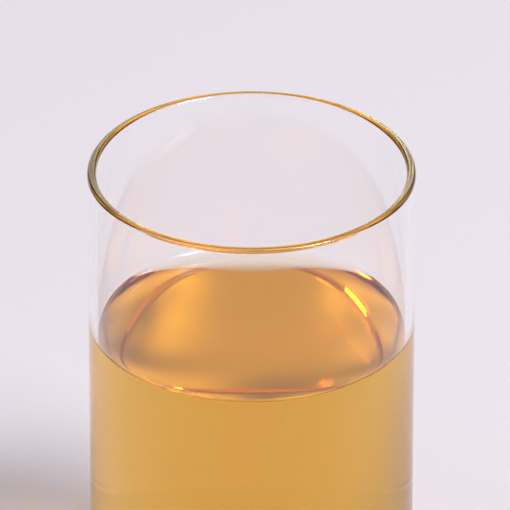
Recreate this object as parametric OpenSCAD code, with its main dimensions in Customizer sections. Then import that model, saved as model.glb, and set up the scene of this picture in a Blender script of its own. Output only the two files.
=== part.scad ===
// A straight-sided drinking glass with a full-round, fire-polished rim, part filled with tea.
// Millimetres, +Z up. The origin is the centre of the foot, on the table the glass stands on.

/* [Glass] */
// Outside diameter of the straight wall
glass_d = 76; // [60:0.5:95]
// Overall height, table to rim
glass_h = 127; // [105:1:170]
// Thickness of the wall, whose top edge is a full round of the same thickness
wall = 2.1; // [1.4:0.1:3.5]
// Thickness of the floor of the glass, measured from the table
base_t = 3; // [2.5:0.1:8]
// Radius of the heel, where the wall turns under to the foot
heel_r = 2; // [1:0.5:9]
// Radius of the corner inside, between the wall and the floor
corner_r = 1.5; // [1:0.5:10]

/* [Foot] */
// Width of the flat ring that the glass stands on
foot_w = 6; // [2:0.5:8]
// Height of the shallow push-up inside that ring
punt_h = 0.4; // [0.3:0.1:1.5]

/* [Tea] */
// Height of the level surface of the tea above the table
tea_level = 84.2; // [30:0.1:96]
// How far the tea climbs the glass above that level
climb = 2.4; // [0.5:0.1:3]
// Capillary length of the tea, which sets how wide the climbing edge is
capillary = 2.7; // [2:0.1:3]

/* [Hidden] */
$fn = 180;

outer_r = glass_d / 2;
inner_r = outer_r - wall;
rim_z = glass_h - wall / 2; // height of the centre of the rim's round

// The push-up is a shallow cap of a sphere, so large that it needs finer facets than the rest.
punt_r = outer_r - heel_r - foot_w;
punt_sphere_r = (punt_r * punt_r + punt_h * punt_h) / (2 * punt_h);
punt_sphere_fn = 1440;

// Steps along the climbing edge, from the wall inwards, and its height where it counts as level.
edge_steps = 16;
level_h = 0.01;

function acosh(x) = ln(x + sqrt(x * x - 1));

// Distance at which a liquid's edge stands h above the level, on the curve that weight and
// surface tension give a liquid beside a wall: a acosh(2a / h) - sqrt(4a^2 - h^2), with the
// capillary length a. It is counted from where that curve would stand upright.
function edge_x(h) = capillary * acosh(2 * capillary / h) - sqrt(4 * pow(capillary, 2) - h * h);

// Half outline of an upright round body, from the axis out to r and from z0 up to z1, with
// a round of radius corner at its lower edge.
module half_body(r, z0, z1, corner) {
    translate([0, z0])
        square([r - corner, z1 - z0]);
    translate([0, z0 + corner])
        square([r, z1 - z0 - corner]);
    translate([r - corner, z0 + corner])
        circle(corner);
}

// The space inside the glass, open past the rim.
module bore() {
    half_body(inner_r, base_t, glass_h + wall, corner_r);
}

module glass() {
    color([0.86, 0.87, 0.88, 0.35])
        rotate_extrude()
            difference() {
                union() {
                    difference() {
                        half_body(outer_r, 0, rim_z, heel_r);
                        bore();
                    }
                    translate([outer_r - wall / 2, rim_z])
                        circle(wall / 2);
                }
                translate([0, punt_h - punt_sphere_r])
                    circle(punt_sphere_r, $fn = punt_sphere_fn);
            }
}

// Half outline of all that lies below the tea's surface: level in the middle, climbing at the wall.
module below_surface() {
    heights = [for (i = [0 : edge_steps]) climb * pow(level_h / climb, i / edge_steps)];
    edge = [for (h = heights) [inner_r - (edge_x(h) - edge_x(climb)), tea_level + h]];
    polygon(concat(
        [[0, 0], [outer_r, 0], [outer_r, tea_level + climb]],
        edge,
        [[0, tea_level]]
    ));
}

module tea() {
    color([0.85, 0.62, 0.28, 0.8])
        rotate_extrude()
            intersection() {
                bore();
                below_surface();
            }
}

glass();
tea();
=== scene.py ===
import math

import bpy
import numpy as np
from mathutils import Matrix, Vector


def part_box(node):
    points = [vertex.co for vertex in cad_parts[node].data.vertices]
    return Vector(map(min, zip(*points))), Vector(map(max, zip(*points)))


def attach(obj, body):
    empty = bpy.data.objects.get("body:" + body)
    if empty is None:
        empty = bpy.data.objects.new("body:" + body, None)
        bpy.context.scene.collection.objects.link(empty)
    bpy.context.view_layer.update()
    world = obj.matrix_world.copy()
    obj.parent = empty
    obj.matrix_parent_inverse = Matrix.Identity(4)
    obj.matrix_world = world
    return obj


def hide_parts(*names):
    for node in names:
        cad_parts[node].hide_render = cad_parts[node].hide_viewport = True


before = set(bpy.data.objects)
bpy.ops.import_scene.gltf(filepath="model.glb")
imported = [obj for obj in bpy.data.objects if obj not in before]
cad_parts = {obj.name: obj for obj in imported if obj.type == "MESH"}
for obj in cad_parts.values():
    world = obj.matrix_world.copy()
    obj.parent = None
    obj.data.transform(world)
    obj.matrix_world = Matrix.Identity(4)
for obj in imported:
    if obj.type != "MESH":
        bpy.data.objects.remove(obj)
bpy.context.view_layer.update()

print("frame loaded:", sorted(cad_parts))

glassLow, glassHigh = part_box("glass")
teaLow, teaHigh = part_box("tea")
outerRadius = (glassHigh[0] - glassLow[0]) / 2
innerRadius = (teaHigh[0] - teaLow[0]) / 2
glassHeight = glassHigh[2]
floorTop = teaLow[2]  # inside the glass, where the tea starts
contactHeight = teaHigh[2]  # where the tea's edge meets the wall
rimRadius = (outerRadius - innerRadius) / 2
rimHeight = glassHeight - rimRadius  # the middle of the rim's round


# Outlines are rows of (distance from the axis, height), from one point on the axis to another.

def arc(centre, radius, startDegrees, endDegrees, count):
    # centre + radius (cos t, sin t), with t in even steps from start to end
    t = np.radians(np.linspace(startDegrees, endDegrees, count))
    return np.column_stack([centre[0] + radius * np.cos(t), centre[1] + radius * np.sin(t)])


def line(start, end, count=2):
    # start + share (end - start), with share in even steps from 0 to 1
    share = np.linspace(0, 1, count)[:, None]
    return np.array(start) + share * (np.array(end) - np.array(start))


def held(stretch, hair=0.00002):
    # the stretch with one more point a hair from each end, so that smooth shading turns only
    # there and a long straight wall next to it refracts as a straight wall
    first = stretch[1] - stretch[0]
    last = stretch[-2] - stretch[-1]
    middle = 0.5
    afterStart = stretch[0] + first * min(hair / np.linalg.norm(first), middle)
    beforeEnd = stretch[-1] + last * min(hair / np.linalg.norm(last), middle)
    return np.vstack([stretch[:1], [afterStart], stretch[1:-1], [beforeEnd], stretch[-1:]])


def joined(*stretches, same=1e-7):
    # the held stretches one after another, without the points that two of them share
    points = np.vstack([held(stretch) for stretch in stretches])
    apart = np.linalg.norm(np.diff(points, axis=0), axis=1) > same
    return points[np.concatenate([[True], apart])]


def revolve(name, outline, sides):
    # (r cos a, r sin a, z) over an outline of (r, z) and even angles a: a closed skin whose
    # first and last points lie on the axis, each as the tip of a fan
    angle = np.linspace(0, 2 * math.pi, sides, endpoint=False)
    ringR = outline[1:-1, 0][:, None]
    ringZ = outline[1:-1, 1][:, None]
    rings = np.stack(np.broadcast_arrays(ringR * np.cos(angle), ringR * np.sin(angle), ringZ), -1)
    points = np.vstack([[[0, 0, outline[0, 1]]], rings.reshape(-1, 3), [[0, 0, outline[-1, 1]]]])
    ringCount = len(outline) - 2
    ring, side = np.meshgrid(np.arange(ringCount - 1), np.arange(sides), indexing="ij")
    here = 1 + ring * sides + side
    beside = 1 + ring * sides + (side + 1) % sides
    quads = np.stack([here, beside, beside + sides, here + sides], -1).reshape(-1, 4)
    around = np.arange(sides)
    after = (around + 1) % sides
    lastRing = 1 + (ringCount - 1) * sides
    startFan = np.column_stack([np.zeros(sides, int), 1 + after, 1 + around])
    endFan = np.column_stack([np.full(sides, len(points) - 1), lastRing + around, lastRing + after])
    mesh = bpy.data.meshes.new(name)
    mesh.from_pydata(points.tolist(), [], quads.tolist() + startFan.tolist() + endFan.tolist())
    mesh.polygons.foreach_set("use_smooth", np.ones(len(mesh.polygons), bool))
    mesh.update()
    piece = bpy.data.objects.new(name, mesh)
    bpy.context.scene.collection.objects.link(piece)
    return piece


class Wire:
    # one socket of a shader, on which + - * / ** < and > add Math nodes
    def __init__(self, tree, socket):
        self.tree = tree
        self.socket = socket

    def maths(self, operation, first, second=0.0):
        node = self.tree.nodes.new("ShaderNodeMath")
        node.operation = operation
        for place, value in enumerate((first, second)):
            if isinstance(value, Wire):
                self.tree.links.new(value.socket, node.inputs[place])
            else:
                node.inputs[place].default_value = value
        return Wire(self.tree, node.outputs[0])

    def __add__(self, other):
        return self.maths("ADD", self, other)

    def __radd__(self, other):
        return self.maths("ADD", other, self)

    def __sub__(self, other):
        return self.maths("SUBTRACT", self, other)

    def __rsub__(self, other):
        return self.maths("SUBTRACT", other, self)

    def __mul__(self, other):
        return self.maths("MULTIPLY", self, other)

    def __rmul__(self, other):
        return self.maths("MULTIPLY", other, self)

    def __truediv__(self, other):
        return self.maths("DIVIDE", self, other)

    def __rtruediv__(self, other):
        return self.maths("DIVIDE", other, self)

    def __pow__(self, other):
        return self.maths("POWER", self, other)

    def __rpow__(self, other):
        return self.maths("POWER", other, self)

    def __lt__(self, other):
        return self.maths("LESS_THAN", self, other)

    def __gt__(self, other):
        return self.maths("GREATER_THAN", self, other)


class Finish:
    # the node tree of a new material or world, and the one method that adds nodes to it
    def __init__(self, owner):
        self.owner = owner
        owner.use_nodes = True
        self.tree = owner.node_tree
        self.tree.nodes.clear()

    def add(self, kind, settings=None, values=None, out=0):
        # settings such as an operation come first, because they change the node's sockets
        node = self.tree.nodes.new(kind)
        for key, value in (settings or {}).items():
            setattr(node, key, value)
        for key, value in (values or {}).items():
            if isinstance(value, Wire):
                self.tree.links.new(value.socket, node.inputs[key])
            else:
                node.inputs[key].default_value = value
        return Wire(self.tree, node.outputs[out]) if node.outputs else None


def clearShader(finish, place, look, ior):
    # clear stuff: a faint mottle in its tint and polish, and long shallow waves on its surface
    mottle = finish.add("ShaderNodeTexNoise", values={
        "Vector": place, "Scale": look["mottleScale"], "Detail": 3.0})
    tint = finish.add("ShaderNodeMix", {"data_type": "RGBA"}, {
        "Factor": mottle, "A": (*look["tint"], 1), "B": (*look["otherTint"], 1)}, out="Result")
    waves = finish.add("ShaderNodeTexNoise", values={
        "Vector": place, "Scale": look["waveScale"], "Detail": 1.0})
    normal = finish.add("ShaderNodeBump", values={
        "Strength": 1.0, "Distance": look["waveHeight"], "Height": waves})
    return finish.add("ShaderNodeBsdfPrincipled", values={
        "Base Color": tint,
        "Roughness": mottle * look["roughness"],
        "IOR": ior,
        "Transmission Weight": 1.0,
        "Normal": normal,
    })


def split(finish, place):
    # the x, y and z of a place or a direction
    node = finish.add("ShaderNodeSeparateXYZ", values={"Vector": place}).socket.node
    return [Wire(finish.tree, socket) for socket in node.outputs]


def fromAxis(x, y):
    # sqrt(x^2 + y^2)
    return (x * x + y * y) ** 0.5


# The glass: one closed skin from the middle of its underside, round the rim and down to the
# middle of its floor.

tumbler = {
    "heelRadius": 0.002,
    "cornerRadius": 0.0015,
    "footWidth": 0.006,
    "puntHeight": 0.0004,
    "sides": 384,
    "steps": {"punt": 12, "round": 24, "wall": 12, "rim": 48, "dryWall": 6, "floor": 4},
    "look": {
        "ior": 1.5,
        "wetIor": 1.125,  # against the tea: the glass's 1.5 over the tea's 1.333
        "tint": (1.0, 1.0, 1.0),
        "otherTint": (0.985, 0.995, 0.995),
        "mottleScale": 40.0,
        "roughness": 0.012,
        "waveScale": 30.0,
        "waveHeight": 0.000004,
    },
}


def glassOutline(look):
    # a shallow cap of a sphere, the foot, a quarter round, the wall, the rim's half round, the
    # bore down to the contact line and on, a quarter round and the floor
    steps = look["steps"]
    heel = look["heelRadius"]
    corner = look["cornerRadius"]
    puntRadius = outerRadius - heel - look["footWidth"]
    puntSphere = (puntRadius ** 2 + look["puntHeight"] ** 2) / (2 * look["puntHeight"])
    puntAngle = math.degrees(math.asin(puntRadius / puntSphere))
    return joined(
        arc((0, look["puntHeight"] - puntSphere), puntSphere, 90, 90 - puntAngle, steps["punt"]),
        line((puntRadius, 0), (outerRadius - heel, 0)),
        arc((outerRadius - heel, heel), heel, -90, 0, steps["round"]),
        line((outerRadius, heel), (outerRadius, rimHeight), steps["wall"]),
        arc((outerRadius - rimRadius, rimHeight), rimRadius, 0, 180, steps["rim"]),
        line((innerRadius, rimHeight), (innerRadius, contactHeight), steps["dryWall"]),
        line((innerRadius, contactHeight), (innerRadius, floorTop + corner), steps["wall"]),
        arc((innerRadius - corner, floorTop + corner), corner, 0, -90, steps["round"]),
        line((innerRadius - corner, floorTop), (0, floorTop), steps["floor"]),
    )


def glassMaterial(name, look, ior):
    finish = Finish(bpy.data.materials.new(name))
    place = finish.add("ShaderNodeTexCoord", out="Object")
    finish.add("ShaderNodeOutputMaterial", values={"Surface": clearShader(finish, place, look, ior)})
    return finish.owner


def wetInside(piece, hair=0.00001):
    # the second material goes on the faces that the tea touches: inside the bore, under its edge
    centres = np.empty(len(piece.data.polygons) * 3)
    piece.data.polygons.foreach_get("center", centres)
    x, y, z = centres.reshape(-1, 3).T
    inside = np.hypot(x, y) < innerRadius + hair
    wet = inside & (z > floorTop - hair) & (z < contactHeight)
    piece.data.polygons.foreach_set("material_index", wet.astype(np.int32))


glassCup = revolve("glass_tumbler", glassOutline(tumbler), tumbler["sides"])
glassLook = tumbler["look"]
glassCup.data.materials.append(glassMaterial("clear glass", glassLook, glassLook["ior"]))
glassCup.data.materials.append(glassMaterial("wet glass", glassLook, glassLook["wetIor"]))
wetInside(glassCup)
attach(glassCup, "root")
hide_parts("glass")
print("glass made:", len(glassCup.data.polygons), "faces")


# The tea: it fills the glass to a hair inside the wall, so that no air shows between them.

drink = {
    "climb": 0.0024,
    "capillary": 0.0027,
    "maskMargin": 0.002,  # how far under the level the open top's mask begins
    "levelShare": 2e-4,  # the share of the climb at which the edge counts as level
    "intoWall": 0.00006,
    "sides": 384,
    "steps": {"round": 24, "wall": 12, "lip": 3, "edge": 60, "level": 6, "floor": 4},
    "look": {
        "ior": 1.333,
        "tint": (1.0, 1.0, 1.0),
        "otherTint": (1.0, 0.995, 0.985),
        "mottleScale": 25.0,
        "roughness": 0.012,
        "waveScale": 18.0,
        "waveHeight": 0.000004,
        "bodyColour": (0.942, 0.765, 0.15),
        "density": 46.5,
    },
}


def climbingEdge(look):
    # heights h over the level, and their distance a acosh(2a/h) - sqrt(4a^2 - h^2) from
    # where the edge would stand upright, counted from the wall
    a = look["capillary"]
    climb = look["climb"]
    h = climb * look["levelShare"] ** np.linspace(1, 0, look["steps"]["edge"])
    x = a * np.arccosh(2 * a / h) - np.sqrt(4 * a ** 2 - h ** 2)
    return x - x[-1], h


def teaOutline(look):
    # the floor, a quarter round and the wall, each a hair inside the glass, a lip up there and
    # back, the climbing edge and the level middle
    steps = look["steps"]
    corner = tumbler["cornerRadius"]
    into = look["intoWall"]
    level = contactHeight - look["climb"]
    side = innerRadius + into
    x, h = climbingEdge(look)
    surface = np.column_stack([innerRadius - x, level + h])[::-1]
    return joined(
        line((0, floorTop - into), (innerRadius - corner, floorTop - into), steps["floor"]),
        arc((innerRadius - corner, floorTop + corner), corner + into, -90, 0, steps["round"]),
        line((side, floorTop + corner), (side, contactHeight), steps["wall"]),
        line((side, contactHeight), (side, contactHeight + into), steps["lip"]),
        line((side, contactHeight + into), (innerRadius, contactHeight), steps["lip"]),
        surface,
        line(surface[-1], (0, level), steps["level"]),
    )


def teaMaterial(name, look, lowest, hair=0.00001):
    # light bends only at the open surface, above lowest and clear of the wall: the skin that lies
    # in the glass lets it pass, because the wet side of the glass bends it there. Inside, light
    # is lost with the way it goes.
    finish = Finish(bpy.data.materials.new(name))
    place = finish.add("ShaderNodeTexCoord", out="Object")
    x, y, z = split(finish, place)
    openTop = (fromAxis(x, y) < innerRadius - hair) * (z > lowest)
    surface = finish.add("ShaderNodeMixShader", values={
        0: openTop,
        1: clearShader(finish, place, look, 1.0),
        2: clearShader(finish, place, look, look["ior"]),
    })
    body = finish.add("ShaderNodeVolumeAbsorption", values={
        "Color": (*look["bodyColour"], 1), "Density": look["density"]})
    finish.add("ShaderNodeOutputMaterial", values={"Surface": surface, "Volume": body})
    return finish.owner


tea = revolve("tea_drink", teaOutline(drink), drink["sides"])
underLevel = contactHeight - drink["climb"] - drink["maskMargin"]
tea.data.materials.append(teaMaterial("amber tea", drink["look"], underLevel))
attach(tea, "root")
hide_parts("tea")
print("tea made:", len(tea.data.polygons), "faces")


# The studio: a pale floor whose paint also carries painted light under the glass, a glow that stands
# for the light that the tea gathers there, a sky with a soft ring of light in it, and one soft lamp.

studio = {
    "floorSize": 8.0,
    "floorDrop": 0.0002,  # keeps it clear of the foot
    "floorColour": (0.80, 0.745, 0.81),
    # painted light under the glass: a glowing disc in the floor's paint, over paint painted dark,
    # with brighter and dimmer pools; it stands for the light the tea gathers there
    "paintedGlowRadius": 0.037,  # the disc of painted light under the foot ends inside the wall
    "paintedGlowFade": 0.002,
    "paintedGlowColour": (0.83, 0.80, 0.43),
    "paintedShadeUnderFoot": (0.08, 0.075, 0.08),  # the paint there, painted dark as painted shade, so that the painted light stands for all light
    "paintedLightPools": [  # x, y, radius and strength of the brighter and the darker pools of painted light in it
        (0.030, -0.008, 0.012, 0.85),
        (0.019, 0.010, 0.010, 0.75),
        (-0.008, 0.026, 0.008, 0.6),
        (-0.031, 0.008, 0.011, 0.7),
        (0.010, 0.018, 0.006, 0.4),
        (0.003, 0.031, 0.012, -0.55),
        (0.028, 0.022, 0.009, -0.5),
    ],
    "sky": 0.27,
    "skySides": 0.3,  # how much dimmer it is to the left and right
    "ring": 1.0,  # a soft ring of light, as high up as the lamp
    "ringHeight": 0.75,  # the sine of its elevation
    "ringWidth": 0.12,
    "keyPower": 83.0,
    "keySize": 1.18,
    "keyAzimuth": 51.0,  # degrees to the right of the camera's direction
    "keyElevation": 48.5,
    "keyDistance": 3.5,
    "bounces": 64,  # light goes through many clear surfaces here
    "diffuseBounces": 6,
}

view = {
    "lens": 650.0,
    "distance": 2.1385,
    "pitch": 29.74,
    "right": 0.0008,
    "belowRim": 0.0219,
    "sensor": 36.0,
    "nearest": 0.1,
    "farthest": 50.0,
}


def floorMaterial(look):
    # plain paint, painted dark under the glass, with a soft-edged disc of painted light there and
    # round pools exp(-(d/r)^2) of painted light in it
    finish = Finish(bpy.data.materials.new("floor paint with painted glow"))
    x, y = split(finish, finish.add("ShaderNodeTexCoord", out="Object"))[:2]
    # the disc of painted light under the glass, fading out at its edge
    light = finish.add("ShaderNodeClamp", values={
        "Value": (look["paintedGlowRadius"] - fromAxis(x, y)) / look["paintedGlowFade"]})
    # pools of painted light: brighter and dimmer spots in the glow under the glass
    paintedLightPools = 1.0
    for poolX, poolY, radius, strength in look["paintedLightPools"]:
        square = ((x - poolX) * (x - poolX) + (y - poolY) * (y - poolY)) / radius ** 2
        paintedLightPools = paintedLightPools + strength * math.e ** (0 - square)
    # the painted glow: emission in the floor's paint that stands for the light the tea gathers under
    # the glass
    paintedGlow = finish.add("ShaderNodeVectorMath", {"operation": "SCALE"}, {
        "Vector": look["paintedGlowColour"], "Scale": light * paintedLightPools})
    # the floor's pale paint, painted nearly black under the glass as painted shade
    paint = finish.add("ShaderNodeMix", {"data_type": "RGBA"}, {
        "Factor": light, "A": (*look["floorColour"], 1), "B": (*look["paintedShadeUnderFoot"], 1)}, out="Result")
    shader = finish.add("ShaderNodeBsdfPrincipled", values={
        "Base Color": paint,
        "Roughness": 1.0,
        "Specular IOR Level": 0.0,
        "Emission Color": paintedGlow,
        "Emission Strength": 1.0,
    })
    finish.add("ShaderNodeOutputMaterial", values={"Surface": shader})
    return finish.owner


def skyLight(look):
    # sky (1 - skySides x^2) + ring exp(-((z - ringHeight) / ringWidth)^2), in the direction (x, y, z)
    finish = Finish(bpy.data.worlds.new("studio"))
    direction = finish.add("ShaderNodeTexCoord", out="Generated")
    x, _, z = split(finish, direction)
    off = (z - look["ringHeight"]) / look["ringWidth"]
    strength = look["sky"] * (1 - look["skySides"] * x * x) + look["ring"] * math.e ** (0 - off * off)
    light = finish.add("ShaderNodeBackground", values={
        "Color": (1, 1, 1, 1), "Strength": strength})
    finish.add("ShaderNodeOutputWorld", values={"Surface": light})
    return finish.owner


def fromAzimuth(azimuth, elevation, distance):
    # a place seen from the middle at that azimuth to the right of the camera, and elevation
    a, e = math.radians(azimuth), math.radians(elevation)
    return np.array([math.sin(a) * math.cos(e), -math.cos(a) * math.cos(e), math.sin(e)]) * distance


def aimed(thing, place, target):
    # puts a camera or a lamp at place, looking at target, with its own X level
    thing.location = place
    thing.rotation_euler = (Vector(target) - Vector(place)).to_track_quat("-Z", "Y").to_euler()


half = studio["floorSize"] / 2
drop = -studio["floorDrop"]
floorMesh = bpy.data.meshes.new("floor")
floorCorners = [(-half, -half, drop), (half, -half, drop), (half, half, drop), (-half, half, drop)]
floorMesh.from_pydata(floorCorners, [], [(0, 1, 2, 3)])
floor = bpy.data.objects.new("floor", floorMesh)
bpy.context.scene.collection.objects.link(floor)
floor.data.materials.append(floorMaterial(studio))

bpy.context.scene.world = skyLight(studio)

lamp = bpy.data.lights.new("key", "AREA")
lamp.shape = "SQUARE"
lamp.size = studio["keySize"]
lamp.energy = studio["keyPower"]
key = bpy.data.objects.new("key", lamp)
bpy.context.scene.collection.objects.link(key)
keyPlace = fromAzimuth(studio["keyAzimuth"], studio["keyElevation"], studio["keyDistance"])
aimed(key, keyPlace, (0, 0, glassHeight / 2))
print("floor, sky and lamp made")

cameraData = bpy.data.cameras.new("camera")
cameraData.lens = view["lens"]
cameraData.sensor_width = view["sensor"]
cameraData.clip_start = view["nearest"]
cameraData.clip_end = view["farthest"]
camera = bpy.data.objects.new("camera", cameraData)
bpy.context.scene.collection.objects.link(camera)
aim = np.array([view["right"], 0, rimHeight - view["belowRim"]])
aimed(camera, aim + fromAzimuth(0, view["pitch"], view["distance"]), aim)
bpy.context.scene.camera = camera

scene = bpy.context.scene
scene.view_settings.view_transform = "Standard"
scene.cycles.max_bounces = studio["bounces"]
scene.cycles.transmission_bounces = studio["bounces"]
scene.cycles.glossy_bounces = studio["bounces"]
scene.cycles.diffuse_bounces = studio["diffuseBounces"]
scene.cycles.blur_glossy = 0.0
scene.cycles.sample_clamp_indirect = 0.0
print("camera and light paths set")
